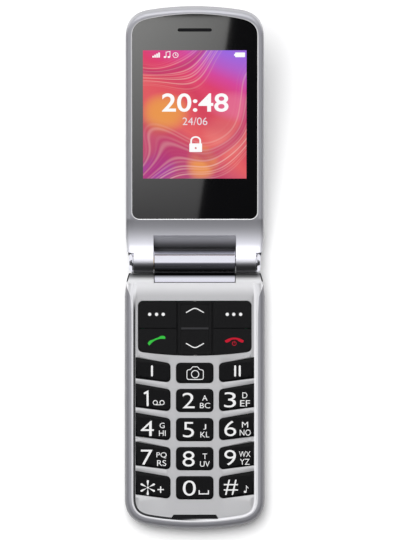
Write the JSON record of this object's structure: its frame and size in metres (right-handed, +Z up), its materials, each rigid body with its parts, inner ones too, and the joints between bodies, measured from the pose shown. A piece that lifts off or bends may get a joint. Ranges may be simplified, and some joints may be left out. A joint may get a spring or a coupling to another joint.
{
  "type": "flip phone",
  "caption": "Clamshell phone with a large keypad, a centre-barrel hinge and a colour screen in the lid, lying open.",
  "frame": {"origin": "middle of the keypad half's resting face", "axes": "+X across the width, +Y from the keypad towards the hinge and the open lid, +Z up from the resting face"},
  "size_m": [0.054, 0.2016, 0.0422],
  "materials": {
    "dark_plastic": "fine matt",
    "gunmetal": "satin",
    "satin_silver": "satin silver paint",
    "lid_silver": "glossy silver paint",
    "chrome": "polished",
    "battery_wrap": "wrapped in printed film, with nothing on it",
    "gold": "gold plated",
    "board_green": "solder mask",
    "dome_foil": "clear film over steel domes",
    "silicone": "soft",
    "tin_plate": "tin plated",
    "black_plastic": "matt",
    "black_gloss": "gloss",
    "steel": "plain",
    "brass": "turned",
    "flex_film": "copper on amber film",
    "window_glass": "polished, printed black round the screen",
    "screen": "lit picture",
    "white_plastic": "matt",
    "key_black": "gloss with white marks"
  },
  "bodies": {
    "base": {"base_rear_shell": "dark_plastic", "base_side_frame": "gunmetal", "base_faceplate": "satin_silver", "hinge_barrel_cover": "chrome", "battery_cover": "dark_plastic", "battery": "battery_wrap", "battery_contacts": "gold", "main_board": "board_green", "keypad_dome_sheet": "dome_foil", "keypad_mat": "silicone", "rf_shield": "tin_plate", "card_sockets": "tin_plate", "charging_socket": "tin_plate", "microphone": "gold", "mic_grille": "black_gloss", "loudspeaker": "black_plastic", "vibration_motor": "steel", "antenna": "gold", "lid_sensor": "black_plastic", "base_screws": "steel", "hinge_cartridge": "steel", "hinge_spring": "steel", "hinge_bush": "brass", "base_flex": "flex_film"},
    "lid": {"lid_inner_shell": "lid_silver", "lid_outer_shell": "lid_silver", "lid_window": "window_glass", "lcd_panel": "screen", "lcd_backlight": "white_plastic", "earpiece": "black_plastic", "earpiece_mesh": "steel", "lid_board": "board_green", "camera_module": "black_plastic", "camera_window": "window_glass", "lid_magnet": "steel", "lid_screws": "steel", "hinge_caps": "chrome", "hinge_shaft": "steel", "hinge_pin": "steel", "lid_flex": "flex_film"},
    "key_soft_left": {"key_soft_left": "key_black"},
    "key_soft_right": {"key_soft_right": "key_black"},
    "key_call": {"key_call": "key_black"},
    "key_end": {"key_end": "key_black"},
    "nav_rocker": {"nav_rocker": "key_black"},
    "key_memory_1": {"key_memory_1": "key_black"},
    "key_camera": {"key_camera": "key_black"},
    "key_memory_2": {"key_memory_2": "key_black"},
    "key_1": {"key_1": "key_black"},
    "key_2": {"key_2": "key_black"},
    "key_3": {"key_3": "key_black"},
    "key_4": {"key_4": "key_black"},
    "key_5": {"key_5": "key_black"},
    "key_6": {"key_6": "key_black"},
    "key_7": {"key_7": "key_black"},
    "key_8": {"key_8": "key_black"},
    "key_9": {"key_9": "key_black"},
    "key_star": {"key_star": "key_black"},
    "key_0": {"key_0": "key_black"},
    "key_hash": {"key_hash": "key_black"}
  },
  "joints": [
    {"name": "lid_hinge", "type": "hinge", "parent": "base", "child": "lid", "pos_m": [0, 0.05345, 0.0088], "axis": [1, 0, 0], "range_deg": [0, 160]},
    {"name": "key_soft_left_press", "type": "slide", "parent": "base", "child": "key_soft_left", "axis": [0, 0, -1], "range_m": [0, 0.0003], "stiffness_N_per_m": 600, "springref_m": -0.0003},
    {"name": "key_soft_right_press", "type": "slide", "parent": "base", "child": "key_soft_right", "axis": [0, 0, -1], "range_m": [0, 0.0003], "stiffness_N_per_m": 600, "springref_m": -0.0003},
    {"name": "key_call_press", "type": "slide", "parent": "base", "child": "key_call", "axis": [0, 0, -1], "range_m": [0, 0.0003], "stiffness_N_per_m": 600, "springref_m": -0.0003},
    {"name": "key_end_press", "type": "slide", "parent": "base", "child": "key_end", "axis": [0, 0, -1], "range_m": [0, 0.0003], "stiffness_N_per_m": 600, "springref_m": -0.0003},
    {"name": "nav_rocker_tilt", "type": "hinge", "parent": "base", "child": "nav_rocker", "pos_m": [0, 0.02805, 0.00895], "axis": [1, 0, 0], "range_deg": [-1.8, 1.8], "stiffness_Nm_per_rad": 0.3},
    {"name": "key_memory_1_press", "type": "slide", "parent": "base", "child": "key_memory_1", "axis": [0, 0, -1], "range_m": [0, 0.0003], "stiffness_N_per_m": 600, "springref_m": -0.0003},
    {"name": "key_camera_press", "type": "slide", "parent": "base", "child": "key_camera", "axis": [0, 0, -1], "range_m": [0, 0.0003], "stiffness_N_per_m": 600, "springref_m": -0.0003},
    {"name": "key_memory_2_press", "type": "slide", "parent": "base", "child": "key_memory_2", "axis": [0, 0, -1], "range_m": [0, 0.0003], "stiffness_N_per_m": 600, "springref_m": -0.0003},
    {"name": "key_1_press", "type": "slide", "parent": "base", "child": "key_1", "axis": [0, 0, -1], "range_m": [0, 0.0003], "stiffness_N_per_m": 600, "springref_m": -0.0003},
    {"name": "key_2_press", "type": "slide", "parent": "base", "child": "key_2", "axis": [0, 0, -1], "range_m": [0, 0.0003], "stiffness_N_per_m": 600, "springref_m": -0.0003},
    {"name": "key_3_press", "type": "slide", "parent": "base", "child": "key_3", "axis": [0, 0, -1], "range_m": [0, 0.0003], "stiffness_N_per_m": 600, "springref_m": -0.0003},
    {"name": "key_4_press", "type": "slide", "parent": "base", "child": "key_4", "axis": [0, 0, -1], "range_m": [0, 0.0003], "stiffness_N_per_m": 600, "springref_m": -0.0003},
    {"name": "key_5_press", "type": "slide", "parent": "base", "child": "key_5", "axis": [0, 0, -1], "range_m": [0, 0.0003], "stiffness_N_per_m": 600, "springref_m": -0.0003},
    {"name": "key_6_press", "type": "slide", "parent": "base", "child": "key_6", "axis": [0, 0, -1], "range_m": [0, 0.0003], "stiffness_N_per_m": 600, "springref_m": -0.0003},
    {"name": "key_7_press", "type": "slide", "parent": "base", "child": "key_7", "axis": [0, 0, -1], "range_m": [0, 0.0003], "stiffness_N_per_m": 600, "springref_m": -0.0003},
    {"name": "key_8_press", "type": "slide", "parent": "base", "child": "key_8", "axis": [0, 0, -1], "range_m": [0, 0.0003], "stiffness_N_per_m": 600, "springref_m": -0.0003},
    {"name": "key_9_press", "type": "slide", "parent": "base", "child": "key_9", "axis": [0, 0, -1], "range_m": [0, 0.0003], "stiffness_N_per_m": 600, "springref_m": -0.0003},
    {"name": "key_star_press", "type": "slide", "parent": "base", "child": "key_star", "axis": [0, 0, -1], "range_m": [0, 0.0003], "stiffness_N_per_m": 600, "springref_m": -0.0003},
    {"name": "key_0_press", "type": "slide", "parent": "base", "child": "key_0", "axis": [0, 0, -1], "range_m": [0, 0.0003], "stiffness_N_per_m": 600, "springref_m": -0.0003},
    {"name": "key_hash_press", "type": "slide", "parent": "base", "child": "key_hash", "axis": [0, 0, -1], "range_m": [0, 0.0003], "stiffness_N_per_m": 600, "springref_m": -0.0003}
  ]
}
